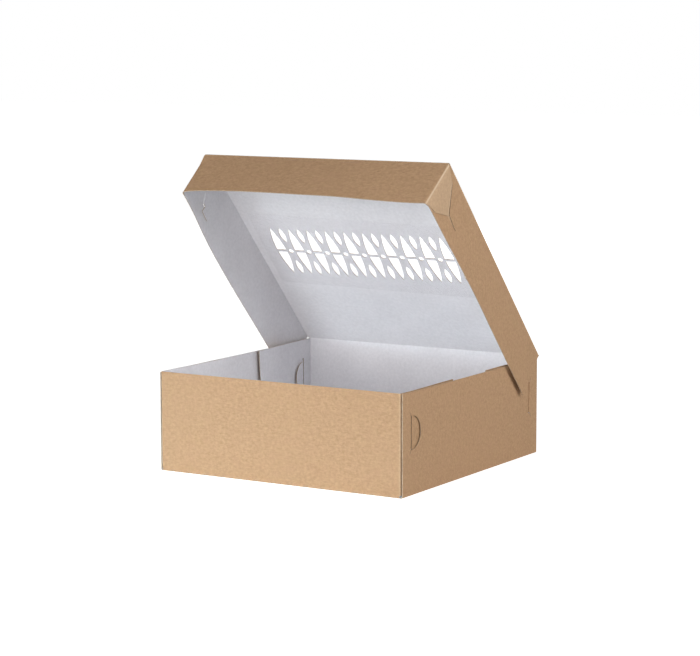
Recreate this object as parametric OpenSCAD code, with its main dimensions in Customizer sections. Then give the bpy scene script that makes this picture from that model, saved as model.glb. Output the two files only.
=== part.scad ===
// Folded pastry box of one piece of board: a tray whose corners lock with half-moon tabs,
// and a hinged cap lid with hooked corners, a die-cut band and a clear film patch behind it.
// Origin: middle of the tray's underside. +Z up, the lid's crease at the back (+Y).

/* [Tray] */
// Outside width, across the side walls
box_w = 220; // [160:5:320]
// Outside depth, front wall to back wall
box_d = 220; // [180:5:320]
// Height of the lid's crease above the table
box_h = 80; // [60:1:120]
// How far the front wall stops below the crease
front_drop = 1.2; // [0.7:0.1:4]
// How far the side walls stop below the crease
side_drop = 1.8; // [0.7:0.1:4]

/* [Board] */
// Thickness of the board
board = 0.6; // [0.4:0.05:0.9]
// Inside radius of a fold
fold_r = 0.3; // [0.2:0.05:0.6]
// Gap between layers of board that lie on each other
ply_gap = 0.12; // [0.1:0.01:0.3]
// Room between the tray and the lid that swings over it
swing_gap = 0.3; // [0.3:0.05:1]
// Room round a folded tab in its slit
slit_play = 0.2; // [0.15:0.05:0.5]
// Room round a tab in the opening that it is cut from
cut_play = 0.2; // [0.1:0.05:0.4]
// Width of a plain knife cut that stands open
cut_w = 0.5; // [0.3:0.1:1]

/* [Tray ears] */
// Length of an ear along the side wall, from the corner
ear_len = 84; // [60:1:90]
// How much shorter an ear is at its foot
ear_taper = 7; // [0:1:15]
// Gap between an ear's foot and the floor of the tray
ear_foot = 1.2; // [0.5:0.1:5]
// Radius of an ear's lower corner
ear_corner_r = 8; // [2:1:20]
// Radius of an ear's upper corner
ear_tip_r = 1; // [0.5:0.5:5]
// Angle by which an ear springs away from the side wall
ear_lean = 1.5; // [0:0.25:2]

/* [Half-moon locks] */
// Distance of a lock's fold from the tray's corner
lock_in = 13.7; // [10:0.5:30]
// Height of a lock's middle above the table
lock_z = 47.5; // [25:0.5:60]
// Radius of the half-moon
lock_r = 12.9; // [8:0.1:18]
// How far the half-moon's centre lies past its fold
lock_shift = 1.6; // [0:0.1:3]
// Angle by which a half-moon stands off the ear
lock_lean = 6; // [2:0.5:15]
// Reach of the relief cuts above and below the half-moon
relief_up = 2.8; // [1:0.1:6]
// Slant of the relief cuts towards the corner
relief_out = 2; // [0:0.1:5]

/* [Lid] */
// Opening angle of the lid at rest, from closed
lid_open = 47.5; // [0:0.5:180]
// Depth of the lid's flaps
lid_h = 43.5; // [38:0.5:58]
// Slack between the front wall and the lid's front flap
lid_slack = 4; // [1:0.5:8]
// Radius of the side flaps' rear corners
flap_corner_r = 1.5; // [0.5:0.5:10]
// Setback of the side flaps from the crease
flap_setback = 1; // [0.5:0.1:5]

/* [Lid hooks] */
// Upper end of the slanting slit, from the lid's front face
slit_top_u = 14; // [10:0.5:20]
// Upper end of the slanting slit, below the lid's top
slit_top_w = 8; // [5:0.5:12]
// Knee of the slit, from the lid's front face
knee_u = 27.5; // [22:0.5:40]
// Knee of the slit, below the lid's top
knee_w = 29.5; // [20:0.5:32]
// Length of the level slit behind the knee
level_cut = 16.5; // [8:0.5:30]
// Gap between the lid's top and the start of a lid ear
lid_ear_top = 2.5; // [1.5:0.1:6]
// Length of a lid ear's lower edge before it slants up to the hook
lid_ear_foot = 11; // [6:0.5:18]
// Rise of that lower edge
lid_ear_rise = 2; // [0:0.5:5]
// How far the hook reaches past the knee
hook_reach = 20; // [12:0.5:35]
// Distance of the hook's nose behind the knee
hook_nose = 3; // [2:0.5:8]
// Radius of the nose's tip
hook_tip_r = 0.6; // [0.3:0.1:2]
// Radius of the hook's lower corner behind the nose
hook_heel_r = 1; // [0.5:0.1:3]
// How far the hook's nose hangs below the level slit
hook_drop = 5; // [2:0.5:5]

/* [Die-cut band] */
// Length of the band of openings, across the lid
band_w = 176; // [60:2:200]
// Height of the tall leaf-shaped openings
leaf_h = 55; // [20:1:80]
// Width of the tall leaf-shaped openings
leaf_w = 9; // [4:0.5:12]
// Distance between two tall openings
leaf_pitch = 17.6; // [15:0.1:30]
// Width of the bridge across the middle of a leaf
bridge_w = 2.4; // [1:0.1:5]
// Height of the short leaves between the tall ones
bud_h = 17; // [6:1:20]
// Width of the short leaves
bud_w = 5; // [2:0.5:6]
// Radius of the round opening between two short leaves
dot_r = 2.2; // [1:0.1:3]

/* [Window film] */
// Length of the film patch, across the lid
film_w = 208; // [120:2:210]
// Height of the film patch
film_h = 84; // [60:1:110]
// Thickness of the film
film_t = 0.1; // [0.05:0.01:0.2]
// Skew of the glued patch
film_skew = 1.5; // [0:0.25:3]

/* [Hidden] */
$fn = 48;
// Steps of a round that is drawn point by point, and facets of a leaf's wide discs
arc_steps = 8;
leaf_fn = 160;
// How far an outline that only trims runs past the board
over = 1;

kraft = "#C8A274";
clear_film = "#E3E6EE";

// Folds and walls of the tray
bend_r = fold_r + board;
half_w = box_w / 2;
half_d = box_d / 2;
tray_top = box_h - board / 2 - swing_gap;
front_top = box_h - front_drop;
side_top = box_h - side_drop;
ear_low = bend_r + ear_foot;
// Outer face of an ear at the corner, and the corner fold's centre
ear_face = half_w - board - ply_gap;
corner_x = ear_face - bend_r;
corner_y = half_d - bend_r;

// Half-moon locks
lock_chord = 2 * sqrt(lock_r * lock_r - lock_shift * lock_shift);
slit_len = lock_chord + 2 * relief_up;
slit_w = bend_r + 2 * slit_play;
// Outer face of a folded-in tab, from the side wall's outer face
tab_depth = (half_w - ear_face) + board + lock_in * sin(ear_lean) + ply_gap;
slit_deep = 2 * tab_depth;
// Length of board that a tab's two folds and the stretch between them use up
tab_used = (PI / 180) * (180 - lock_lean) * (fold_r + board / 2) + tab_depth - bend_r - fold_r;

// Lid, with its own origin on the crease: u runs to its front, w down from its top
pivot_y = half_d - board / 2;
lid_half = half_w + swing_gap + board + ply_gap + board;
lid_len = pivot_y + half_d + lid_slack + board;
lid_fold_x = lid_half - bend_r;
lid_ear_face = lid_half + ply_gap + board;
lid_corner_x = lid_ear_face - bend_r;
hook_face = lid_half - board - ply_gap;
top_z = board / 2;
band_u = lid_len / 2;
slit_top = [slit_top_u, slit_top_w];
knee = [knee_u, knee_w];

// Points along the round of a corner at q, between the edges to p and to s
function fillet(p, q, s, r, n = arc_steps) =
    let (
        u = (p - q) / norm(p - q),
        v = (s - q) / norm(s - q),
        half = acos(u * v) / 2,
        c = q + (u + v) / norm(u + v) * r / sin(half),
        start = q + u * r / tan(half) - c,
        end = q + v * r / tan(half) - c,
        a = atan2(start.y, start.x),
        turn = atan2(start.x * end.y - start.y * end.x, start * end)
    )
    [for (i = [0 : n]) c + r * [cos(a + turn * i / n), sin(a + turn * i / n)]];

// Outline with each corner rounded to its own radius; a radius of 0 keeps it sharp
function rounded(points, radii) =
    let (n = len(points))
    [for (i = [0 : n - 1])
        each radii[i] == 0
            ? [points[i]]
            : fillet(points[(i + n - 1) % n], points[i], points[(i + 1) % n], radii[i])];

// A fold: the board turned round the Z axis, starting on the X axis
module fold(turn, length) {
    rotate_extrude(angle = turn)
        translate([fold_r, 0])
            square([board, length]);
}

// A sheet cut to an outline drawn along Y and up Z, with its face towards +X at x = 0
module upright_sheet(depth = board) {
    rotate([90, 0, 90])
        translate([0, 0, -depth])
            linear_extrude(depth)
                children();
}

// A thin cut between two points
module cut_line(from, to, width) {
    run = to - from;
    translate(from)
        rotate(atan2(run.y, run.x))
            translate([-width / 2, -width / 2])
                square([norm(run) + width, width]);
}

// Pointed leaf standing on its tip, drawn as the meeting of two discs
module leaf(height, width) {
    r = (height * height / 4 + width * width / 4) / width;
    intersection() {
        translate([r - width / 2, 0])
            circle(r, $fn = leaf_fn);
        translate([width / 2 - r, 0])
            circle(r, $fn = leaf_fn);
        square([width, height], center = true);
    }
}

// Half-moon with its fold along the Y axis
module half_moon() {
    intersection() {
        translate([lock_shift, 0])
            circle(lock_r);
        translate([0, -lock_r])
            square([lock_r + lock_shift, 2 * lock_r]);
    }
}

// What is cut out of a side wall for one lock: the half-moon, the stretch that folds in
// with it, and the two relief cuts; the corner lies towards -X
module lock_opening() {
    half_moon();
    translate([-bend_r, -lock_chord / 2])
        square([bend_r, lock_chord]);
    for (s = [-1, 1])
        cut_line(
            [0, s * lock_chord / 2],
            [-relief_out, s * (lock_chord / 2 + relief_up)],
            cut_w
        );
}

// One side wall, outer face at x = 0, with its two lock openings and its fold to the floor
module side_wall() {
    upright_sheet()
        difference() {
            translate([-corner_y, bend_r])
                square([2 * corner_y, side_top - bend_r]);
            for (end = [0, 1])
                mirror([end, 0])
                    translate([lock_in - half_d, lock_z])
                        lock_opening();
        }
    translate([-bend_r, -corner_y, bend_r])
        rotate([-90, 0, 0])
            fold(90, 2 * corner_y);
}

// Arc of points round a centre
function arc(centre, r, from, to, n = arc_steps) =
    [for (i = [0 : n]) centre + r * [cos(from + (to - from) * i / n), sin(from + (to - from) * i / n)]];

// Half-moon tab of a side wall: folded in through the ear's slit and back along the ear.
// Its section, seen from above, is cut to the outline of the half-moon.
module lock_tab() {
    half = lock_chord / 2 - cut_play;
    in = [-bend_r, -bend_r];
    back = [-tab_depth + fold_r, fold_r];
    tip = [-sin(lock_lean), cos(lock_lean)] * 2 * lock_r;
    out = [cos(lock_lean), sin(lock_lean)];
    intersection() {
        translate([0, 0, -lock_r])
            linear_extrude(2 * lock_r)
                polygon(concat(
                    arc(in, bend_r, 0, 90),
                    arc(back, fold_r, -90, lock_lean - 180),
                    [back - fold_r * out + tip, back - bend_r * out + tip],
                    arc(back, bend_r, lock_lean - 180, -90),
                    arc(in, fold_r, 90, 0)
                ));
        translate([over, 0, 0])
            upright_sheet(over + tab_depth + lock_r) {
                translate([-bend_r - over, -half])
                    square([over + bend_r + fold_r, 2 * half]);
                translate([fold_r + bend_r + lock_shift - tab_used, 0])
                    circle(lock_r - cut_play);
            }
    }
}

// Front or, mirrored, back wall with its fold to the floor and an ear at each end.
// Wall and ears are one strip seen from above, trimmed to the outline of an ear.
module end_wall(top) {
    centre = [corner_x, -corner_y];
    reach = ear_len - bend_r;
    tip = [-sin(ear_lean), cos(ear_lean)] * reach;
    out = [cos(ear_lean), sin(ear_lean)];
    right = concat(
        arc(centre, bend_r, -90, ear_lean),
        [centre + bend_r * out + tip, centre + fold_r * out + tip],
        arc(centre, fold_r, ear_lean, -90)
    );
    count = len(right);
    left = [for (i = [1 : count]) [-right[count - i].x, right[count - i].y]];
    slit_y = lock_in - half_d - bend_r - slit_play;
    difference() {
        intersection() {
            linear_extrude(top)
                polygon(concat(right, left));
            translate([half_w, -half_d, 0])
                upright_sheet(2 * half_w)
                    polygon(rounded(
                        [[-over, ear_low], [ear_len - ear_taper, ear_low], [ear_len, top], [-over, top]],
                        [0, ear_corner_r, ear_tip_r, 0]
                    ));
        }
        for (side = [-1, 1])
            translate([side * ear_face, slit_y + slit_w / 2, lock_z])
                cube([slit_deep, slit_w, slit_len], center = true);
    }
    translate([-corner_x, -half_d, bend_r])
        cube([2 * corner_x, board, top - bend_r]);
    translate([-corner_x, -corner_y, bend_r])
        rotate([0, 90, 0])
            mirror([0, 1, 0])
                fold(90, 2 * corner_x);
}

module tray() {
    color(kraft) {
        translate([-(half_w - bend_r), -corner_y, 0])
            cube([2 * (half_w - bend_r), 2 * corner_y, board]);
        end_wall(front_top);
        mirror([0, 1, 0])
            end_wall(tray_top);
        for (side = [0, 1])
            mirror([side, 0, 0]) {
                translate([half_w, 0, 0])
                    side_wall();
                for (end = [0, 1])
                    mirror([0, end, 0])
                        translate([half_w, lock_in - half_d, lock_z])
                            lock_tab();
            }
    }
}

// Row of die-cut leaves, with short leaves and a round opening between each two
module die_cut_band() {
    count = floor(band_w / leaf_pitch) + 1;
    first = -(count - 1) / 2 * leaf_pitch;
    for (i = [0 : count - 1])
        translate([first + i * leaf_pitch, 0])
            difference() {
                leaf(leaf_h, leaf_w);
                square([leaf_w + over, bridge_w], center = true);
            }
    for (i = [0 : count - 2])
        translate([first + (i + 0.5) * leaf_pitch, 0]) {
            circle(dot_r);
            for (s = [-1, 1])
                translate([0, s * (leaf_h - bud_h) / 2])
                    leaf(bud_h, bud_w);
        }
}

// Top of the lid with its rounded edge on the crease, its band and its two long folds
module lid_top() {
    translate([0, 0, -top_z])
        linear_extrude(board)
            difference() {
                union() {
                    translate([-corner_x, bend_r - lid_len])
                        square([2 * corner_x, lid_len - bend_r]);
                    translate([-lid_fold_x, bend_r - lid_len])
                        square([2 * lid_fold_x, lid_len - bend_r - flap_setback]);
                }
                translate([0, -band_u])
                    die_cut_band();
            }
    translate([-corner_x, 0, 0])
        rotate([0, 90, 0])
            cylinder(d = board, h = 2 * corner_x);
    for (side = [0, 1])
        mirror([side, 0, 0])
            translate([lid_fold_x, -flap_setback, top_z - bend_r])
                rotate([90, 0, 0])
                    fold(90, lid_len - bend_r - flap_setback);
}

// Strip of the lid's ear that passes through the slanting slit, widened by play all round
module hook_pass(play) {
    along = (knee - slit_top) / norm(knee - slit_top);
    behind = [along.y, -along.x];
    polygon([
        slit_top - along * play + behind * play,
        knee + along * play + behind * play,
        knee + along * play - behind * (board + play),
        slit_top - along * play - behind * (board + play)
    ]);
}

// Turns an outline drawn with u back from the lid's front and w down from its top upright
module lid_sheet(face, depth = board) {
    translate([face, -lid_len, top_z])
        upright_sheet(depth)
            mirror([0, 1])
                children();
}

// Right side flap, with the slanting slit for the hook and the level cut behind it
module lid_side() {
    lid_sheet(lid_half)
        difference() {
            polygon(rounded(
                [
                    [bend_r, bend_r],
                    [lid_len - flap_setback, bend_r],
                    [lid_len - flap_setback, lid_h],
                    [bend_r, lid_h]
                ],
                [0, 0, flap_corner_r, 0]
            ));
            hook_pass(slit_play);
            cut_line(knee, knee + [level_cut, 0], cut_w);
        }
}

// Right ear of the lid: outside the side flap, through its slit, and hooked inside it
module lid_ear() {
    translate([lid_corner_x, bend_r - lid_len, top_z - lid_h])
        rotate([0, 0, -90])
            fold(90, lid_h - lid_ear_top);
    lid_sheet(lid_ear_face)
        polygon([
            [bend_r, lid_ear_top],
            slit_top,
            knee,
            [lid_ear_foot, lid_h - lid_ear_rise],
            [bend_r, lid_h]
        ]);
    lid_sheet(lid_ear_face, lid_ear_face - hook_face + board)
        hook_pass(0);
    lid_sheet(hook_face)
        polygon(rounded(
            [
                slit_top,
                knee + [hook_reach - hook_drop, slit_top_w - knee_w + hook_drop],
                knee + [hook_reach, 0],
                knee + [hook_reach - hook_drop, hook_drop],
                knee + [hook_nose, hook_drop],
                knee + [hook_nose, 0],
                knee
            ],
            [0, hook_drop, hook_drop, hook_heel_r, hook_tip_r, 0, 0]
        ));
}

// Front flap between its corner folds, with its fold to the top
module lid_front() {
    translate([-lid_corner_x, -lid_len, top_z - lid_h])
        cube([2 * lid_corner_x, board, lid_h - bend_r]);
    translate([lid_fold_x, bend_r - lid_len, top_z - bend_r])
        rotate([0, -90, 0])
            mirror([0, 1, 0])
                fold(90, 2 * lid_fold_x);
}

// Puts what is drawn closed, with its origin on the crease, at the lid's place
module on_crease() {
    translate([0, pivot_y, box_h])
        rotate([-lid_open, 0, 0])
            children();
}

module lid() {
    color(kraft)
        on_crease() {
            lid_top();
            lid_front();
            for (side = [0, 1])
                mirror([side, 0, 0]) {
                    lid_side();
                    lid_ear();
                }
        }
}

// Clear patch glued on the inside of the lid's top, behind the band
module window_film() {
    color(clear_film)
        on_crease()
            translate([0, -band_u, -top_z - film_t])
                rotate(film_skew)
                    linear_extrude(film_t)
                        square([film_w, film_h], center = true);
}

tray();
lid();
window_film();
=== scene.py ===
# %% [markdown]
# ## A folded pastry box
# The real box is one blank of thin carton, brown kraft outside and white inside. A knife
# die cuts it, blunt rules press its creases, and hands fold it without glue.
# The scene follows that order: cut a flat blank, score it, fold it up along its creases.
# It cuts tray and lid apart, because they move, and joins them with a strip at the crease.
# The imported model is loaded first. It is the frame, and every piece lies where it lies.

# %% The frame
import math
from collections import namedtuple

import bmesh
import bpy
from mathutils import Matrix, Vector
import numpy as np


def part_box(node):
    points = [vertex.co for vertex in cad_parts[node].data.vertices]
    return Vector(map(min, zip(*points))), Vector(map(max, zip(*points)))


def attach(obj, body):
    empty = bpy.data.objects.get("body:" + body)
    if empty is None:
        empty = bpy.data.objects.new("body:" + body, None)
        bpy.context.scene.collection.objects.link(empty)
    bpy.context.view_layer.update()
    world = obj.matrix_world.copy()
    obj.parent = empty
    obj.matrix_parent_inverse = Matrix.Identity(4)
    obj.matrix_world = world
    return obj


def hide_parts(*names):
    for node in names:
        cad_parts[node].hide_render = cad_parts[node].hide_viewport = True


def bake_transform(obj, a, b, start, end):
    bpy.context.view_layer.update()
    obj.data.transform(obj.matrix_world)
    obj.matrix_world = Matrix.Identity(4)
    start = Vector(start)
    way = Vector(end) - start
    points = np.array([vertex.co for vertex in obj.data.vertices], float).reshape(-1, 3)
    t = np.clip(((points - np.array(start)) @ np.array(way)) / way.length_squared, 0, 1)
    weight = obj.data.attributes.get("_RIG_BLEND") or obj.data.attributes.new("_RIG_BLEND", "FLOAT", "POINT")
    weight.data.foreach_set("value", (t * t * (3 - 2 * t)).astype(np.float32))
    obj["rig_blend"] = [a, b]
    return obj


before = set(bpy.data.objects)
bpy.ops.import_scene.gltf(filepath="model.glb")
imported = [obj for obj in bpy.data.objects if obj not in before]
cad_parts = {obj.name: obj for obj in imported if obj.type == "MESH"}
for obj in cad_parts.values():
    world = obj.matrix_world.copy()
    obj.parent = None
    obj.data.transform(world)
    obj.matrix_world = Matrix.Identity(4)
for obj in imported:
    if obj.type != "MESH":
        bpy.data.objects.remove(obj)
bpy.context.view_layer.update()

MM = 0.001
for name in sorted(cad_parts):
    low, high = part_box(name)
    print(name, "reaches", [round(x / MM, 1) for x in (*low, *high)], "mm")

# %% [markdown]
# ## Measures of the board
# All folding happens on the middle of the board's thickness, because that surface neither
# stretches nor shrinks. A fold of inside radius 0.3 mm in 0.6 mm board has its middle at
# 0.6 mm, so a right angle uses up 0.94 mm of board. The blanks are drawn in millimetres.

# %% Measures
BOARD = 0.6
OUTER_R = 0.9
MID_R = 0.6
QUARTER = MID_R * math.pi / 2
BOX_HALF = 110.0
FLAT_HALF = BOX_HALF - OUTER_R
FRONT_TOP, SIDE_TOP, BACK_TOP = 78.8, 78.2, 79.4
EAR_ROOT = {-1: 107.6, 1: 108.38}
PIVOT = Vector((0.0, 109.7, 80.0))
LID_OPEN = math.radians(47.5)
LID_LEN = 224.3
LID_DEEP = 43.5
print("a right-angled fold uses", round(QUARTER, 3), "mm of board")

# %% [markdown]
# ## Cutting and scoring tools
# A cutting die is a bent steel knife, so `cut` draws one closed knife line from corner
# points and from arcs that the spin operator turns about their centres. Filling between
# all the knife lines gives the flat blank. A crease is scored with several parallel cuts
# of the bisect operator, and each of them later takes its share of the fold. A crease also
# leaves a pale line in a layer of the mesh, which the kraft finish shows partly as rubbed
# fibres and partly as a painted highlight along the fold.
# Its soft lines are further cuts beside it, where the board bends instead of folding.

# %% Knife lines and blank
# The value before the soft lines sets how pale a fold shows: partly rubbed fibres, partly a painted
# highlight.
Crease = namedtuple("Crease", "start towards turn inside steps wear soft", defaults=[1.0, ()])


def cut(bm, path, round_off=()):
    """One closed knife line: (x, y) corners, and (cx, cy, turn, steps) arcs from the last point."""
    verts, corners = [], {}
    for index, step in enumerate(path):
        if len(step) == 2:
            verts.append(bm.verts.new((*step, 0)))
            corners[index] = verts[-1]
            if len(verts) > 1:
                bm.edges.new(verts[-2:])
        else:
            cx, cy, turn, steps = step
            spun = bmesh.ops.spin(
                bm, geom=[verts[-1]], cent=(cx, cy, 0), axis=(0, 0, 1), dvec=(0, 0, 0),
                angle=math.radians(turn), steps=steps, use_merge=False, use_duplicate=False)
            verts.append(spun["geom_last"][0])
    if (verts[0].co - verts[-1].co).length > 0.01:
        bm.edges.new((verts[-1], verts[0]))
    for index, radius in round_off:
        bmesh.ops.bevel(
            bm, geom=[corners[index]], affect="VERTICES", offset=radius,
            offset_type="OFFSET", segments=6, profile=0.5, material=-1)


def fill_blank(bm, kraft_side):
    """Fills between the knife lines; the kraft side faces up (1) or down (-1)."""
    bmesh.ops.remove_doubles(bm, verts=bm.verts, dist=0.005)
    bmesh.ops.triangle_fill(bm, use_beauty=True, use_dissolve=False, edges=bm.edges)
    for face in bm.faces:
        face.normal_update()
        if face.normal.z * kraft_side < 0:
            face.normal_flip()
    area = sum(face.calc_area() for face in bm.faces)
    print("blank of", round(area / 100), "square cm with", len(bm.faces), "faces")


def slice_faces(bm, faces, point, normal):
    """A straight cut across these faces that leaves both sides joined."""
    geom = list({v for f in faces for v in f.verts})
    geom += list({e for f in faces for e in f.edges}) + list(faces)
    bmesh.ops.bisect_plane(bm, geom=geom, dist=0.0005, plane_co=point, plane_no=normal)


def fold_lines(crease):
    """Distances from the start of a crease at which it takes its share of the turn."""
    length = MID_R * math.radians(abs(crease.turn))
    return [(k + 0.5) * length / crease.steps for k in range(crease.steps)]


def score(bm, creases, grid):
    """Cuts a light grid, so that the board can bow, and then the lines of each crease."""
    reach = 240
    for axis in (Vector((1, 0, 0)), Vector((0, 1, 0))):
        for k in range(-int(reach / grid), int(reach / grid) + 1):
            slice_faces(bm, list(bm.faces), axis * (k + 0.37) * grid, axis)
    for crease in creases:
        towards = Vector((*crease.towards, 0)).normalized()
        start = Vector((*crease.start, 0))
        length = MID_R * math.radians(abs(crease.turn))
        before = [-far for far in reversed(crease.soft)] + [-0.5, 0]
        after = [length, length + 0.5] + [length + far for far in crease.soft]
        for far in before + fold_lines(crease) + after:
            faces = [f for f in bm.faces if any(crease.inside(v.co) for v in f.verts)]
            slice_faces(bm, faces, start + towards * far, towards)
    flat = bm.verts.layers.float_vector.new("flat")
    wear_and_highlight = bm.verts.layers.float.new("wear_and_highlight")
    for v in bm.verts:
        v[flat] = v.co
    for crease in creases:
        towards = Vector((*crease.towards, 0)).normalized()
        length = MID_R * math.radians(abs(crease.turn))
        for v in bm.verts:
            along = (v.co - Vector((*crease.start, 0))).dot(towards)
            if crease.inside(v.co) and -0.01 < along < length + 0.01:
                # Pale line along the fold: partly rubbed fibres, partly a painted highlight.
                v[wear_and_highlight] = max(v[wear_and_highlight], crease.wear)


def fold_up(bm, creases):
    """Folds crease after crease, the far ones first, as a packer does."""
    flat = bm.verts.layers.float_vector["flat"]
    for crease in creases:
        towards = Vector((*crease.towards, 0)).normalized()
        start = Vector((*crease.start, 0))
        for far in reversed(fold_lines(crease)):
            line = start + towards * far
            moving = [v for v in bm.verts
                      if crease.inside(v[flat]) and (v[flat] - line).dot(towards) > 0.001]
            bmesh.ops.rotate(
                bm, verts=moving, cent=line,
                matrix=Matrix.Rotation(math.radians(crease.turn / crease.steps), 3,
                                       towards.cross(Vector((0, 0, 1)))))


# %% [markdown]
# ## From folded sheet to board
# The folded middle surface gets its thickness from a Solidify modifier, centred on it, so
# that the folds keep their radius. The modifier puts kraft on one side, the white liner on
# the other and the bare core on the cut edge. It is applied, and the edges of the cut are
# marked sharp, so that the round folds shade smoothly and the knife edge stays crisp.

# %% Board from a folded sheet
def slopes(knots):
    """A smooth line through (place, value) knots, flat outside them."""
    def at(place):
        if place <= knots[0][0]:
            return knots[0][1]
        for i in range(len(knots) - 1):
            (x0, y0), (x1, y1) = knots[i], knots[i + 1]
            if place <= x1:
                before, after = knots[max(i - 1, 0)], knots[min(i + 2, len(knots) - 1)]
                s = x1 - x0
                m0 = (y1 - before[1]) / (x1 - before[0]) * s
                m1 = (after[1] - y0) / (after[0] - x0) * s
                t = (place - x0) / s
                return ((2 * t ** 3 - 3 * t ** 2 + 1) * y0 + (t ** 3 - 2 * t ** 2 + t) * m0
                        + (3 * t ** 2 - 2 * t ** 3) * y1 + (t ** 3 - t ** 2) * m1)
        return knots[-1][1]
    return at


def to_object(bm, name, thickness, materials, sharp=40):
    """Gives a sheet in millimetres its thickness and makes it an object in metres."""
    bmesh.ops.scale(bm, vec=(MM, MM, MM), verts=bm.verts)
    sheet = bpy.data.meshes.new(name + "_sheet")
    bm.to_mesh(sheet)
    bm.free()
    for material in materials:
        sheet.materials.append(material)
    piece = bpy.data.objects.new(name, sheet)
    bpy.context.collection.objects.link(piece)
    wall = piece.modifiers.new("board", "SOLIDIFY")
    wall.thickness, wall.offset, wall.use_even_offset = thickness * MM, 0, True
    wall.material_offset, wall.material_offset_rim = 1, 2
    shape = bpy.data.meshes.new_from_object(
        piece.evaluated_get(bpy.context.evaluated_depsgraph_get()))
    piece.modifiers.clear()
    piece.data = shape
    shape.name = name
    shape.shade_smooth()
    shape.set_sharp_from_angle(angle=math.radians(sharp))
    print(name, "has", sum(len(p.vertices) - 2 for p in shape.polygons), "triangles")
    return piece


# %% [markdown]
# ## Materials
# Three finishes belong to one carton: unbleached kraft outside, a white clay coat inside,
# and the grey-brown core that shows where the knife went through. Each reads Object
# coordinates, because the pieces sit at the origin and a solid pattern needs no unwrapping.
# Pattern sizes are given in millimetres and turned into texture scales.

# %% Helpers for materials
def paint(code):
    """The linear colour of an sRGB hex value."""
    parts = [int(code[i:i + 2], 16) / 255 for i in (1, 3, 5)]
    return [p / 12.92 if p <= 0.04045 else ((p + 0.055) / 1.055) ** 2.4 for p in parts] + [1.0]


def add(tree, kind, inputs=None, **settings):
    """Adds one node with its settings, and sets or links its inputs."""
    made = tree.nodes.new(kind)
    for key, value in settings.items():
        setattr(made, key, value)
    for socket, value in (inputs or {}).items():
        if isinstance(value, bpy.types.NodeSocket):
            tree.links.new(value, made.inputs[socket])
        else:
            made.inputs[socket].default_value = value
    return made


def per_mm(size):
    """Texture scale at which a pattern repeats about every so many millimetres."""
    return 1 / (size * MM)


def new_finish(name):
    """An empty node material, its shader and its Object coordinates."""
    material = bpy.data.materials.new(name)
    material.use_nodes = True
    tree = material.node_tree
    shader = next(n for n in tree.nodes if n.type == "BSDF_PRINCIPLED")
    return material, tree, shader, add(tree, "ShaderNodeTexCoord").outputs["Object"]


# %% [markdown]
# **Unbleached kraft.** Brown wood fibres, pressed flat: matt, warm, with clouds of 34 mm
# from the paper machine, mottling of 2 to 4 mm where fibres bunch, and single dark shives.

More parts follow.
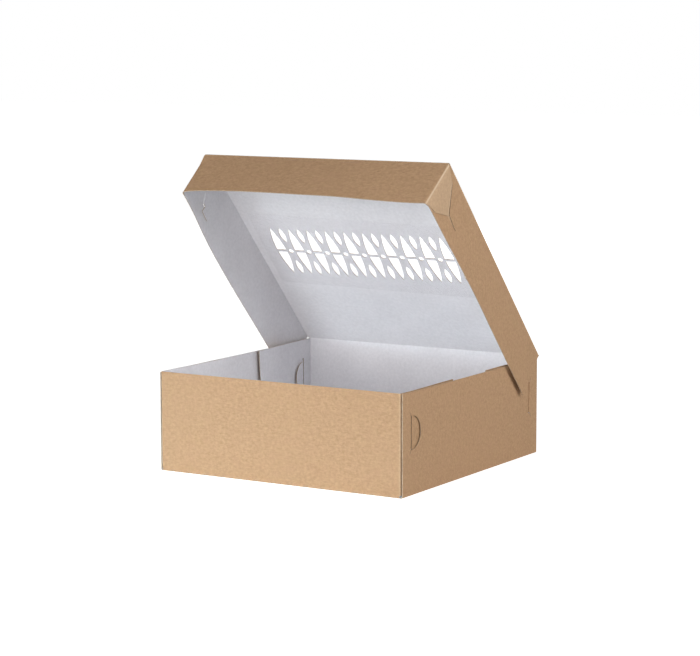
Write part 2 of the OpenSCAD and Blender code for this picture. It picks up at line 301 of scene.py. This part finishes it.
# %% Kraft
def unbleached_kraft():
    """Kraft face of the carton: rough, fibrous and slightly cloudy."""
    material, tree, shader, place = new_finish("unbleached_kraft")
    cloud = add(tree, "ShaderNodeTexNoise",
                {"Vector": place, "Scale": per_mm(34), "Detail": 2.0, "Roughness": 0.5})
    mottle = add(tree, "ShaderNodeTexNoise",
                 {"Vector": place, "Scale": per_mm(2.4), "Detail": 4.0, "Roughness": 0.62})
    lie = add(tree, "ShaderNodeMapping", {"Vector": place, "Scale": (0.28, 1.0, 1.0)})
    fibre = add(tree, "ShaderNodeTexNoise",
                {"Vector": lie.outputs[0], "Scale": per_mm(1.1), "Detail": 3.0,
                 "Roughness": 0.6, "Distortion": 0.6})
    shive = add(tree, "ShaderNodeTexVoronoi",
                {"Vector": lie.outputs[0], "Scale": per_mm(3.6), "Randomness": 1.0})
    speck = add(tree, "ShaderNodeMapRange",
                {"Value": shive.outputs["Distance"], "From Min": 0.05, "From Max": 0.13,
                 "To Min": 1.0, "To Max": 0.0})
    some = add(tree, "ShaderNodeMath", {0: shive.outputs["Color"], 1: 0.62},
               operation="GREATER_THAN")
    shives = add(tree, "ShaderNodeMath", {0: speck.outputs[0], 1: some.outputs[0]},
                 operation="MULTIPLY")
    bunched = add(tree, "ShaderNodeMath", {0: mottle.outputs["Fac"], 1: 0.55},
                  operation="MULTIPLY")
    tone = add(tree, "ShaderNodeMath", {0: fibre.outputs["Fac"], 1: 0.45,
                                        2: bunched.outputs[0]}, operation="MULTIPLY_ADD")
    spread = add(tree, "ShaderNodeMapRange",
                 {"Value": tone.outputs[0], "From Min": 0.38, "From Max": 0.62})
    fibres = add(tree, "ShaderNodeMix",
                 {"Factor": spread.outputs[0], 6: paint("#A07E5E"), 7: paint("#BD9B78")},
                 data_type="RGBA")
    warm = add(tree, "ShaderNodeTexNoise",
               {"Vector": place, "Scale": per_mm(6), "Detail": 1.0, "Roughness": 0.5})
    tinge = add(tree, "ShaderNodeMix",
                {"Factor": warm.outputs["Fac"], 6: paint("#B48D71"), 7: paint("#B1926C")},
                data_type="RGBA")
    clouds = add(tree, "ShaderNodeMath", {0: cloud.outputs["Fac"], 1: 0.7}, operation="MULTIPLY")
    clouded = add(tree, "ShaderNodeMix",
                  {"Factor": clouds.outputs[0], 6: fibres.outputs[2], 7: tinge.outputs[2]},
                  data_type="RGBA")
    dark = add(tree, "ShaderNodeMath", {0: shives.outputs[0], 1: 0.4}, operation="MULTIPLY")
    flecked = add(tree, "ShaderNodeMix",
                  {"Factor": dark.outputs[0], 6: clouded.outputs[2], 7: paint("#765539")},
                  data_type="RGBA")
    # Folds turn paler: partly rubbed fibres, partly a painted highlight; the lid's ears are paler all over
    # as painted light.
    wear_and_highlight = add(tree, "ShaderNodeAttribute", attribute_name="wear_and_highlight")
    rubbed_and_lit = add(tree, "ShaderNodeMath", {0: wear_and_highlight.outputs["Fac"], 1: 0.75},
                 operation="MULTIPLY")
    colour = add(tree, "ShaderNodeMix",
                 {"Factor": rubbed_and_lit.outputs[0], 6: flecked.outputs[2], 7: paint("#D6C0A4")},
                 data_type="RGBA")
    height = add(tree, "ShaderNodeBump",
                 {"Height": tone.outputs[0], "Strength": 0.35, "Distance": 0.12 * MM})
    rough = add(tree, "ShaderNodeMapRange",
                {"Value": mottle.outputs["Fac"], "To Min": 0.74, "To Max": 0.92})
    tree.links.new(colour.outputs[2], shader.inputs["Base Color"])
    tree.links.new(rough.outputs[0], shader.inputs["Roughness"])
    tree.links.new(height.outputs[0], shader.inputs["Normal"])
    shader.inputs["Specular IOR Level"].default_value = 0.3
    return material


# %% [markdown]
# **White clay coat.** The food side is coated and calendered: smoother, faintly cool, with
# a soft sheen, and the fibres below print through as very pale clouds.

# %% White liner
def clay_coat():
    """White inside face of the carton."""
    material, tree, shader, place = new_finish("white_clay_coat")
    cloud = add(tree, "ShaderNodeTexNoise",
                {"Vector": place, "Scale": per_mm(26), "Detail": 2.0, "Roughness": 0.5})
    mottle = add(tree, "ShaderNodeTexNoise",
                 {"Vector": place, "Scale": per_mm(2.6), "Detail": 3.0, "Roughness": 0.6})
    both = add(tree, "ShaderNodeMath", {0: cloud.outputs["Fac"], 1: 0.5,
                                        2: mottle.outputs["Fac"]}, operation="MULTIPLY_ADD")
    spread = add(tree, "ShaderNodeMapRange",
                 {"Value": both.outputs[0], "From Min": 0.5, "From Max": 1.0})
    colour = add(tree, "ShaderNodeMix",
                 {"Factor": spread.outputs[0], 6: paint("#DEDCDF"), 7: paint("#EBE9EC")},
                 data_type="RGBA")
    rough = add(tree, "ShaderNodeMapRange",
                {"Value": mottle.outputs["Fac"], "To Min": 0.42, "To Max": 0.62})
    height = add(tree, "ShaderNodeBump",
                 {"Height": mottle.outputs["Fac"], "Strength": 0.2, "Distance": 0.08 * MM})
    tree.links.new(colour.outputs[2], shader.inputs["Base Color"])
    tree.links.new(rough.outputs[0], shader.inputs["Roughness"])
    tree.links.new(height.outputs[0], shader.inputs["Normal"])
    shader.inputs["Specular IOR Level"].default_value = 0.4
    return material


# %% [markdown]
# **Cut core.** A knife cut crushes the layers of the board, so its edge is a pale, dull
# grey-brown with streaks finer than a millimetre.

# %% Cut edge
def cut_core():
    """Bare core of the board at a cut edge."""
    material, tree, shader, place = new_finish("cut_board_core")
    layers = add(tree, "ShaderNodeTexNoise",
                 {"Vector": place, "Scale": per_mm(0.9), "Detail": 3.0, "Roughness": 0.65})
    spread = add(tree, "ShaderNodeMapRange",
                 {"Value": layers.outputs["Fac"], "From Min": 0.35, "From Max": 0.65})
    colour = add(tree, "ShaderNodeMix",
                 {"Factor": spread.outputs[0], 6: paint("#A8937C"), 7: paint("#C4B29C")},
                 data_type="RGBA")
    height = add(tree, "ShaderNodeBump",
                 {"Height": layers.outputs["Fac"], "Strength": 0.5, "Distance": 0.1 * MM})
    tree.links.new(colour.outputs[2], shader.inputs["Base Color"])
    tree.links.new(height.outputs[0], shader.inputs["Normal"])
    shader.inputs["Roughness"].default_value = 0.95
    shader.inputs["Specular IOR Level"].default_value = 0.2
    return material


# %% [markdown]
# **Clear film.** PET film of a tenth of a millimetre: almost invisible, with a faint cool
# pink tint, a gloss that comes and goes over shallow ripples, and a slightly milky look.

# %% Film
def pet_film():
    """Clear glossy film behind the die-cut band."""
    material, tree, shader, place = new_finish("clear_pet_film")
    ripple = add(tree, "ShaderNodeTexNoise",
                 {"Vector": place, "Scale": per_mm(38), "Detail": 1.0, "Roughness": 0.4})
    haze = add(tree, "ShaderNodeMapRange",
               {"Value": ripple.outputs["Fac"], "To Min": 0.05, "To Max": 0.14})
    tint = add(tree, "ShaderNodeMix",
               {"Factor": ripple.outputs["Fac"], 6: paint("#E2D6DE"), 7: paint("#EEE6EC")},
               data_type="RGBA")
    height = add(tree, "ShaderNodeBump",
                 {"Height": ripple.outputs["Fac"], "Strength": 0.3, "Distance": 0.5 * MM})
    tree.links.new(tint.outputs[2], shader.inputs["Base Color"])
    tree.links.new(haze.outputs[0], shader.inputs["Roughness"])
    tree.links.new(height.outputs[0], shader.inputs["Normal"])
    shader.inputs["Alpha"].default_value = 0.035
    shader.inputs["IOR"].default_value = 1.57
    return material


kraft, liner, core, film = unbleached_kraft(), clay_coat(), cut_core(), pet_film()
print("finishes:", [m.name for m in (kraft, liner, core, film)])

# %% [markdown]
# ## The tray
# One blank makes floor, four walls and four ears. The ears fold in behind the side walls,
# and half-moon tabs, cut from the side walls, go through slits in the ears and lock them.
# A tab folds in at its root and folds back along the ear, which takes two creases.

# %% Tray blank
LOCK_Z, LOCK_Y, MOON_R, MOON_PAST = 47.5, 96.3, 12.9, 1.6
TAB_R, LEAN, EAR_LEN = 12.7, 7.0, 84
SLIT, SLIT_HALF = {-1: (12.6, 16.0), 1: (11.5, 14.1)}, 15.6
EAR_TIP, EAR_TAPER, EAR_FOOT = SIDE_TOP + 0.3, 7, 2.1
TIP_R, FOOT_R = 1, 8
RELIEF_CUT = ((-0.31, 0), (-2.35, 2.86), (-1.94, 3.15))


def up_wall(z):
    """Distance in the blank from the box's middle to a height on a folded wall."""
    return FLAT_HALF + QUARTER + z - OUTER_R


def ear_start(front):
    """Distance in the blank that stands for the corner of the folded box on an ear."""
    return EAR_ROOT[front] + QUARTER - OUTER_R


def tray_outline(bm):
    """Knife line round floor, walls and ears; the ears taper to their foot."""
    path, tips, feet = [], [], []
    for front in (-1, 1):
        top = up_wall(FRONT_TOP if front < 0 else BACK_TOP)
        root, ear_s = EAR_ROOT[front], ear_start(front)
        ear = [(root + 2, top), (ear_s + EAR_LEN, up_wall(EAR_TIP)),
               (ear_s + EAR_LEN - EAR_TAPER, up_wall(EAR_FOOT)),
               (root, up_wall(EAR_FOOT)), (root, FLAT_HALF)]
        side = [(FLAT_HALF, FLAT_HALF), (up_wall(SIDE_TOP), FLAT_HALF)]
        right = [(s, front * t) for s, t in ear + side]
        left = [(-s, t) for s, t in reversed(right)]
        strip = left + right if front < 0 else list(reversed(left + right))
        tips += [len(path) + strip.index(p) for p in strip if abs(p[0]) == right[1][0]]
        feet += [len(path) + strip.index(p) for p in strip if abs(p[0]) == right[2][0]]
        path += strip
    cut(bm, path, [(index, TIP_R) for index in tips] + [(index, FOOT_R) for index in feet])
    for front, side in ((a, b) for a in (-1, 1) for b in (-1, 1)):
        near, far = [side * (ear_start(front) + x) for x in SLIT[front]]
        low, high = [front * up_wall(LOCK_Z + z) for z in (-SLIT_HALF, SLIT_HALF)]
        cut(bm, [(near, low), (far, low), (far, high), (near, high)])


def lock_knives(bm):
    """The narrow C-shaped cut round each half-moon, with its two slanting relief cuts."""
    wide = math.degrees(math.acos(-MOON_PAST / MOON_R))
    chord = MOON_R * math.sin(math.radians(wide))
    root = chord - 0.2
    meet = 180 - math.degrees(math.asin(root / TAB_R))
    before = len(bm.verts)
    for side, front in ((a, b) for a in (-1, 1) for b in (-1, 1)):
        middle = side * up_wall(LOCK_Z), front * LOCK_Y
        turn = -side * front

        def spot(along, up):
            return middle[0] + side * up, middle[1] - front * along

        path = [spot(-OUTER_R, root), spot(TAB_R * math.cos(math.radians(meet)) + MOON_PAST, root),
                (*spot(MOON_PAST, 0), turn * 2 * meet, 24),
                spot(-OUTER_R, -root), spot(-OUTER_R, -chord),
                *(spot(along, -chord - past) for along, past in RELIEF_CUT),
                spot(0.1, -chord), (*spot(MOON_PAST, 0), -turn * 2 * (wide - 0.5), 24),
                *(spot(along, chord + past) for along, past in reversed(RELIEF_CUT)),
                spot(-OUTER_R, chord)]
        cut(bm, path)
    print("four half-moon cuts of", len(bm.verts) - before, "points")


tray_bm = bmesh.new()
tray_outline(tray_bm)
lock_knives(tray_bm)
fill_blank(tray_bm, -1)

# %% Tray creases
def beyond(axis, limit):
    """Everything past a line of the blank, towards +X/+Y or -X/-Y by the limit's sign."""
    return lambda p: p[axis] * math.copysign(1, limit) > abs(limit) - 0.001


tab_creases, ear_creases, wall_creases = [], [], []
for side, front in ((a, b) for a in (-1, 1) for b in (-1, 1)):
    root = front * (LOCK_Y + OUTER_R)
    tab_across = 0.45

    def in_tab(p, side=side, front=front):
        along, up = LOCK_Y - p[1] * front, p[0] * side - up_wall(LOCK_Z)
        at_root = -OUTER_R - 0.6 < along < MOON_PAST and abs(up) < TAB_R
        return at_root or math.hypot(along - MOON_PAST, up) < TAB_R + 0.06

    def on_ear(p, side=side, front=front):
        return p[0] * side > EAR_ROOT[front] - 0.001 and p[1] * front > FLAT_HALF + 1
    second = root - front * (QUARTER + tab_across)
    tab_creases.append(Crease((0, second), (0, -front), -(90 - LEAN), in_tab, 4, 0.0))
    tab_creases.append(Crease((0, root), (0, -front), 90, in_tab, 4, 0.0))
    ear_creases.append(
        Crease((side * EAR_ROOT[front], 0), (side, 0), 90, on_ear, 4, 0.3))
for side in (-1, 1):
    wall_creases.append(
        Crease((0, side * FLAT_HALF), (0, side), 90, beyond(1, side * FLAT_HALF), 4, 0.2))
    wall_creases.append(
        Crease((side * FLAT_HALF, 0), (side, 0), 90,
               lambda p, side=side: p[0] * side > FLAT_HALF - 0.001
               and abs(p[1]) < FLAT_HALF + 0.001, 4, 0.2))
tray_creases = tab_creases + ear_creases + wall_creases
score(tray_bm, tray_creases, 15)
ears = [v for v in tray_bm.verts if any(c.inside(v.co) for c in ear_creases)]
fold_up(tray_bm, tray_creases)

# %% [markdown]
# The half-moons pull each ear against its side wall. From there the ear springs away, and at
# the front corners the narrower front wall leaves a thin gap beside the side wall.

# %% Spring of the ears
ear_bow = {-1: slopes([(0, 0), (13, -0.6), (30, 0), (84, 1.9)]),
           1: slopes([(0, 0), (13, 0.1), (30, 0.6), (84, 2.3)])}
for v in ears:
    front, side = math.copysign(1, v.co.y), math.copysign(1, v.co.x)
    v.co.x -= side * ear_bow[front](BOX_HALF - abs(v.co.y))
bmesh.ops.translate(tray_bm, verts=tray_bm.verts, vec=(0, 0, BOARD / 2))
tray = to_object(tray_bm, "tray_board", BOARD, [kraft, liner, core])
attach(tray, "tray")
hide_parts("tray")

# %% [markdown]
# ## The lid
# The lid's blank hangs on the back wall by its crease. Its front flap carries an ear at
# each end. The ear lies outside the side flap, dives through a slanting slit and ends in a
# hook inside. The window is a row of leaf-shaped openings, which the same knife cuts.

# %% Lid blank
LID_X, LID_Y = 110.72, LID_LEN - OUTER_R
LID_EAR_ROOT = 111.44
SLIT_TOP, KNEE = Vector((14.0, 8.0)), Vector((27.5, 29.5))
BEHIND = Vector((KNEE.y - SLIT_TOP.y, SLIT_TOP.x - KNEE.x)).normalized()
AT_SIDE = LID_X + QUARTER - OUTER_R
AT_EAR = LID_EAR_ROOT + QUARTER - OUTER_R
AT_FRONT = LID_Y + QUARTER - OUTER_R
BACK_HALF = 109.2
PASS = 2 * QUARTER + 0.24
CRUSH = PASS - 2 * MID_R


def lid_outline(bm):
    """Knife line round the top, its flaps and the two hooked ears."""
    def ear(u, w):
        return AT_EAR + u, -(AT_FRONT + w)

    ahead = [SLIT_TOP - BEHIND * 0.9, SLIT_TOP + BEHIND * (PASS - 0.9)]
    below = [KNEE + BEHIND * (PASS - 0.9), KNEE - BEHIND * 0.9]
    hook = [KNEE + Vector(p) + BEHIND * CRUSH
            for p in ((15, -16.5), (20, 0), (15, 5), (3, 5), (3, 0))]
    right = [(BACK_HALF, -0.6), (LID_X - 0.4, -0.6), (LID_X, -1),
             (AT_SIDE + LID_DEEP, -1), (AT_SIDE + LID_DEEP, -LID_Y),
             (LID_X, -LID_Y), (LID_X, -LID_Y - 0.6), (LID_EAR_ROOT, -LID_Y - 0.7),
             ear(0, 2.5)]
    right += [ear(*p) for p in ahead] + [ear(*p) for p in hook] + [ear(*p) for p in below]
    right += [ear(11, 41.5), ear(0.9, LID_DEEP)]
    count = len(right)
    start = right.index(ear(*hook[0]))
    rounds = {3: 1.5, start: 5, start + 1: 5, start + 2: 1, start + 3: 0.6}
    path = right + [(-x, y) for x, y in reversed(right)]
    round_off = [(k, r) for k, r in rounds.items()]
    round_off += [(2 * count - 1 - k, r) for k, r in rounds.items()]
    cut(bm, path, round_off)


def hook_slits(bm):
    """The slanting slit in each side flap and the level cut behind its knee."""
    along = Vector((-BEHIND.y, BEHIND.x))
    loop = [SLIT_TOP - along * 0.2 + BEHIND * 1.1, KNEE + BEHIND * 2.6 - along * 1.3,
            KNEE + Vector((16.75, -0.15)), KNEE + Vector((16.75, 0.25)),
            KNEE + along * 0.5 + BEHIND * 0.2, KNEE + along * 0.2 - BEHIND * 0.8,
            SLIT_TOP - along * 0.2 - BEHIND * 0.8]
    for side in (-1, 1):
        cut(bm, [(side * (AT_SIDE + p.y), p.x - LID_LEN) for p in loop])


LEAVES, LEAF_STEP, FIRST_LEAF = 11, 17.6, -88
LONG_LEAF, LONG_WIDE, BRIDGE = 55, 9, 1.2
SHORT_LEAF, SHORT_WIDE, SHORT_OFF = 17, 5, 19
BEAD_R = 2.2


def leaf_band(bm):
    """Row of leaf-shaped openings with short leaves and a round one between each two."""
    def side_arc(height, width, bridge):
        r = (height * height / 4 + width * width / 4) / width
        off = r - width / 2
        tip = math.degrees(math.asin(height / 2 / r))
        return off, r, tip, math.degrees(math.asin(bridge / r))

    middle = -LID_LEN / 2
    made = 0
    for i in range(LEAVES):
        x = FIRST_LEAF + LEAF_STEP * i
        off, r, tip, low = side_arc(LONG_LEAF, LONG_WIDE, BRIDGE)
        for half in (-1, 1):
            cut(bm, [(x, middle + half * LONG_LEAF / 2),
                     (x - off, middle, -half * (tip - low), 8),
                     (x + off - r * math.cos(math.radians(low)), middle + half * BRIDGE),
                     (x + off, middle, -half * (tip - low), 8)])
            made += 1
    for i in range(LEAVES - 1):
        x = FIRST_LEAF + LEAF_STEP * (i + 0.5)
        off, r, tip, low = side_arc(SHORT_LEAF, SHORT_WIDE, 0)
        for half in (-1, 1):
            y = middle + half * SHORT_OFF
            cut(bm, [(x, y + SHORT_LEAF / 2), (x - off, y, -2 * tip, 9),
                     (x + off, y, -2 * tip, 9)])
        cut(bm, [(x + BEAD_R, middle), (x, middle, 360, 18)])
        made += 3
    print(made, "openings in the band")


lid_bm = bmesh.new()
lid_outline(lid_bm)
hook_slits(lid_bm)
leaf_band(lid_bm)
fill_blank(lid_bm, 1)

# %% Lid creases
hook_creases, corner_creases, flap_creases = [], [], []
for side in (-1, 1):
    def on_lid_ear(p, side=side):
        return p[0] * side > LID_EAR_ROOT - 0.001 and p[1] < -LID_Y - 1.5

    slit_at = Vector((side * (AT_EAR + SLIT_TOP.x), -(AT_FRONT + SLIT_TOP.y), 0))
    aim = Vector((side * BEHIND.x, -BEHIND.y, 0))
    for far, turn in ((-0.9 + PASS - QUARTER, 90), (-0.9, -90)):
        begin = slit_at + aim * far
        hook_creases.append(Crease(begin.xy, aim.xy, turn, on_lid_ear, 4))
    corner_creases.append(
        Crease((side * LID_EAR_ROOT, 0), (side, 0), -90, on_lid_ear, 4, 1.0, (1, 2, 3)))
    flap_creases.append(
        Crease((side * LID_X, 0), (side, 0), -90,
               lambda p, side=side: p[0] * side > LID_X - 0.001 and p[1] > -LID_Y - 0.001, 4))
flap_creases.append(Crease((0, -LID_Y), (0, -1), -90, beyond(1, -LID_Y), 4))
lid_creases = hook_creases + corner_creases + flap_creases
FRONT_CUTS, EAR_PAINTED_LIGHT = (3, 7), 0.35
for behind in FRONT_CUTS:
    slice_faces(lid_bm, list(lid_bm.faces), Vector((0, behind - LID_Y, 0)), Vector((0, 1, 0)))
score(lid_bm, lid_creases, 12)
# The lid's ears are made paler all over: painted light, as if they caught more of the lamps than the side
# flaps.
wear_and_highlight = lid_bm.verts.layers.float["wear_and_highlight"]
for v in lid_bm.verts:
    if any(c.inside(v.co) for c in corner_creases):
        v[wear_and_highlight] = max(v[wear_and_highlight], EAR_PAINTED_LIGHT)
fold_up(lid_bm, lid_creases)

# %% [markdown]
# Creased board springs back, so the flaps of a new box never hang square. The side flaps
# open out by up to 5.4 mm at their free edge, less where the hooks hold them in front, and
# the front flap bellies forward. Smooth lines through points fitted to the photo's outline
# give these bows. The corners roll softly round instead of folding to a sharp line.

# %% Spring of the flaps
side_bow = {
    1: slopes([(0, 2.8), (46, 2.6), (82, 2.6), (118, 2.8), (152, 2.0), (186, 0.6), (204, 0),
               (220, -0.5), (224, -2.0)]),
    -1: slopes([(0, 4.0), (46, 4.2), (106, 5.4), (145, 5.4), (165, 4.6), (184, 3.0),
                (204, 0.8), (224, 0)]),
}
front_bow = slopes([(-112, 1.5), (-103, 3.4), (-68, 5.4), (-35, 5.6), (0, 5.0), (30, 4.6),
                    (61, 2.6), (91, 1.2), (112, 1.6)])
CORNER = Vector((LID_EAR_ROOT + MID_R, -LID_Y - MID_R))
CORNER_R = 3.4


def spring(p):
    """Where a point of the folded lid goes when its flaps spring open."""
    drop = max(0.0, -p.z - 0.6) / LID_DEEP
    side = 1 if p.x > 0 else -1
    off_front = p.y + LID_LEN
    at_side = min(1, max(0, (abs(p.x) - 104) / 5))
    at_front = max(0, 1 - max(0, off_front - 1) / 13)
    roll = CORNER_R * min(1, drop * 6)
    off_corner = max(CORNER.x - abs(p.x), p.y - CORNER.y, 0)
    inward = (roll - off_corner) ** 2 / (4 * roll) if off_corner < roll else 0
    return Vector((side * (side_bow[side](-p.y) * at_side * drop - inward),
                   inward - front_bow(p.x) * at_front * drop, 0))


def open_lid(bm):
    """Turns what is drawn closed, with its origin on the crease, to the lid's place."""
    bmesh.ops.rotate(bm, verts=bm.verts, cent=(0, 0, 0),
                     matrix=Matrix.Rotation(-LID_OPEN, 3, "X"))
    bmesh.ops.translate(bm, verts=bm.verts, vec=PIVOT)


for v in lid_bm.verts:
    v.co += spring(v.co)
open_lid(lid_bm)
lid = to_object(lid_bm, "lid_board", BOARD, [kraft, liner, core])
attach(lid, "lid")
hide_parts("lid")

# %% [markdown]
# ## The crease at the back
# Tray and lid are one board, so the bend between them must neither gap nor tear. It is a
# narrow strip that follows the back wall at one edge and the lid at the other.

# %% Crease strip
crease_bm = bmesh.new()
back = Vector((0, -math.cos(LID_OPEN), math.sin(LID_OPEN)))
STRIP_HALF, STRIP_PARTS = LID_X + MID_R, 36
left_end = PIVOT - Vector((STRIP_HALF, 0, 0))
ends = [left_end - Vector((0, 0, PIVOT.z - BACK_TOP)), left_end - Vector((0, 0, 0.25)),
        left_end + back * 0.25, left_end + back * 0.6]
line = [crease_bm.verts.new(p) for p in ends]
edges = [crease_bm.edges.new(pair) for pair in zip(line, line[1:])]
for _ in range(STRIP_PARTS):
    made = bmesh.ops.extrude_edge_only(crease_bm, edges=edges)
    moved = [g for g in made["geom"] if isinstance(g, bmesh.types.BMVert)]
    edges = [g for g in made["geom"] if isinstance(g, bmesh.types.BMEdge)]
    bmesh.ops.translate(crease_bm, verts=moved, vec=(2 * STRIP_HALF / STRIP_PARTS, 0, 0))
for face in crease_bm.faces:
    face.normal_update()
    if face.normal.y < 0:
        face.normal_flip()
crease = to_object(crease_bm, "back_crease", BOARD, [kraft, liner, core], sharp=60)
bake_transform(crease, "tray", "lid", start=Vector(ends[0] * MM), end=Vector(ends[-1] * MM))

# %% [markdown]
# ## The film
# A patch of clear film is glued behind the band, a little askew, as on the real box. It
# touches the lid only along its glued edge, so its middle is free and ripples a little.

# %% Film patch
FILM, FILM_WIDE, FILM_LONG, FREE_AFTER = 0.1, 208, 84, 8
FILM_DROP, ASKEW, RIPPLE = 0.36, math.radians(1.5), 0.06
film_bm = bmesh.new()
bmesh.ops.create_grid(film_bm, x_segments=52, y_segments=21, size=0.5)
bmesh.ops.scale(film_bm, vec=(FILM_WIDE, FILM_LONG, 1), verts=film_bm.verts)
for v in film_bm.verts:
    rim = min(1, (FILM_WIDE / 2 - abs(v.co.x)) / FREE_AFTER,
              (FILM_LONG / 2 - abs(v.co.y)) / FREE_AFTER)
    wave = math.sin(v.co.x / 17 + 1.3) * math.sin(v.co.y / 13 + 0.4) + math.sin(v.co.x / 31)
    v.co.z = -RIPPLE * rim * (1.2 + wave)
bmesh.ops.rotate(film_bm, verts=film_bm.verts, cent=(0, 0, 0),
                 matrix=Matrix.Rotation(ASKEW, 3, "Z"))
bmesh.ops.translate(film_bm, verts=film_bm.verts, vec=(0, -LID_LEN / 2, -FILM_DROP))
open_lid(film_bm)
patch = to_object(film_bm, "film_patch", FILM, [film, film, film])
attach(patch, "lid")
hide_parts("window_film")

# %% [markdown]
# ## Floor, light and camera
# The box stands on a pale floor under soft studio light: two broad lamps low in front, one
# on the right and one behind, two weaker ones higher up, and a dim strip that lights the
# inside of the lid. The room is almost dark. Camera rays see floor and room as white, and
# the floor keeps the shadow of the box.

# %% Floor
floor_bm = bmesh.new()
bmesh.ops.create_grid(floor_bm, x_segments=1, y_segments=1, size=6)
floor_mesh = bpy.data.meshes.new("floor")
floor_bm.to_mesh(floor_mesh)
floor_bm.free()
floor = bpy.data.objects.new("floor", floor_mesh)
floor.location.z = -0.0002
bpy.context.collection.objects.link(floor)


def pale_floor():
    """Matt white table top that camera rays see about as white as the room."""
    material, tree, shader, place = new_finish("pale_floor")
    shader.inputs["Base Color"].default_value = paint("#F2F2F2")
    shader.inputs["Roughness"].default_value = 0.9
    shader.inputs["Specular IOR Level"].default_value = 0.0
    ray = add(tree, "ShaderNodeLightPath")
    seen = add(tree, "ShaderNodeMath", {0: ray.outputs["Is Camera Ray"],
                                        1: ray.outputs["Is Glossy Ray"]}, operation="MAXIMUM")
    seen = add(tree, "ShaderNodeMath", {0: seen.outputs[0],
                                        1: ray.outputs["Is Transmission Ray"]}, operation="MAXIMUM")
    far = add(tree, "ShaderNodeVectorMath", {0: place}, operation="LENGTH")
    lift = add(tree, "ShaderNodeMapRange", {"Value": far.outputs["Value"], "From Min": 0.18,
                                            "From Max": 0.7, "To Min": 0.85, "To Max": 1.0})
    glow = add(tree, "ShaderNodeEmission", {"Color": (1, 1, 1, 1), "Strength": lift.outputs[0]})
    both = add(tree, "ShaderNodeAddShader", {0: shader.outputs[0], 1: glow.outputs[0]})
    pick = add(tree, "ShaderNodeMixShader",
               {0: seen.outputs[0], 1: shader.outputs[0], 2: both.outputs[0]})
    out = next(n for n in tree.nodes if n.type == "OUTPUT_MATERIAL")
    tree.links.new(pick.outputs[0], out.inputs["Surface"])
    return material


floor_mesh.materials.append(pale_floor())

# %% Room and lamps
world = bpy.data.worlds.new("room")
bpy.context.scene.world = world
world.use_nodes = True
room = world.node_tree
room.nodes.clear()
rays = add(room, "ShaderNodeLightPath")
shown = add(room, "ShaderNodeMath", {0: rays.outputs["Is Camera Ray"],
                                     1: rays.outputs["Is Glossy Ray"]}, operation="MAXIMUM")
shown = add(room, "ShaderNodeMath", {0: shown.outputs[0],
                                     1: rays.outputs["Is Transmission Ray"]}, operation="MAXIMUM")
white = add(room, "ShaderNodeBackground", {"Color": (1, 1, 1, 1), "Strength": 1.0})
ambient = add(room, "ShaderNodeBackground", {"Color": paint("#F4F6FA"), "Strength": 0.03})
pick = add(room, "ShaderNodeMixShader",
           {0: shown.outputs[0], 1: ambient.outputs[0], 2: white.outputs[0]})
room_out = add(room, "ShaderNodeOutputWorld", {"Surface": pick.outputs[0]})


def soft_lamp(name, spot, aim, size, power):
    """A square softbox at a spot in metres that looks at a point."""
    data = bpy.data.lights.new(name, "AREA")
    data.shape, data.size, data.energy = "SQUARE", size, power
    lamp = bpy.data.objects.new(name, data)
    lamp.location = spot
    lamp.rotation_euler = (Vector(aim) - Vector(spot)).to_track_quat("-Z", "Y").to_euler()
    lamp.visible_camera = False
    bpy.context.collection.objects.link(lamp)
    print(name, "at", tuple(spot), "with", power, "W")
    return data


soft_lamp("front_left", (-0.9, -1.7, 0.25), (0, 0, 0.1), 0.9, 12)
soft_lamp("front", (0.1, -2.0, 0.3), (0, 0, 0.1), 0.9, 20)
soft_lamp("right", (1.6, 0.1, 0.38), (0, 0, 0.1), 0.8, 9.8)
soft_lamp("high_right", (1.4, -0.7, 1.0), (0, 0, 0.1), 0.6, 9.5)
soft_lamp("high_front", (0.1, -1.6, 0.9), (0, 0, 0.1), 0.6, 1.4)
low = soft_lamp("low_strip", (-0.28, -0.55, 0.08), (-0.03, -0.11, -0.07), 0.6, 0.45)
low.shape, low.size_y, low.spread = "RECTANGLE", 0.06, math.radians(70)
low.color = (0.71, 0.91, 1.0)
soft_lamp("back", (-0.8, 2.0, 0.7), (0, 0, 0.1), 0.9, 6)

# %% Camera
AZ, EL, ROLL, FAR, FOCAL = 0.5479, 0.132, -0.002, 1901.96, 2374.5
SHIFT_RIGHT, SHIFT_UP, FRAME_WIDE = -1.747, 54.544, 700
target = Vector((0, 0, 52.8))
back_axis = Vector((math.sin(AZ) * math.cos(EL), -math.cos(AZ) * math.cos(EL), math.sin(EL)))
right_axis = Vector((math.cos(AZ), math.sin(AZ), 0))
up_axis = back_axis.cross(right_axis)
turned = Matrix.Rotation(ROLL, 3, back_axis)
right_axis, up_axis = turned @ right_axis, turned @ up_axis
eye = (target + back_axis * FAR + right_axis * SHIFT_RIGHT + up_axis * SHIFT_UP) * MM
camera_data = bpy.data.cameras.new("camera")
camera_data.sensor_width, camera_data.lens = 36, FOCAL / FRAME_WIDE * 36
camera_data.clip_end = 50
camera = bpy.data.objects.new("camera", camera_data)
turn = Matrix((right_axis, up_axis, back_axis)).transposed()
camera.matrix_world = Matrix.Translation(eye) @ turn.to_4x4()
bpy.context.collection.objects.link(camera)
bpy.context.scene.camera = camera
bpy.context.scene.view_settings.view_transform = "Standard"
print("camera", round(FAR / 1000, 2), "m away, lens", round(camera_data.lens, 1), "mm")
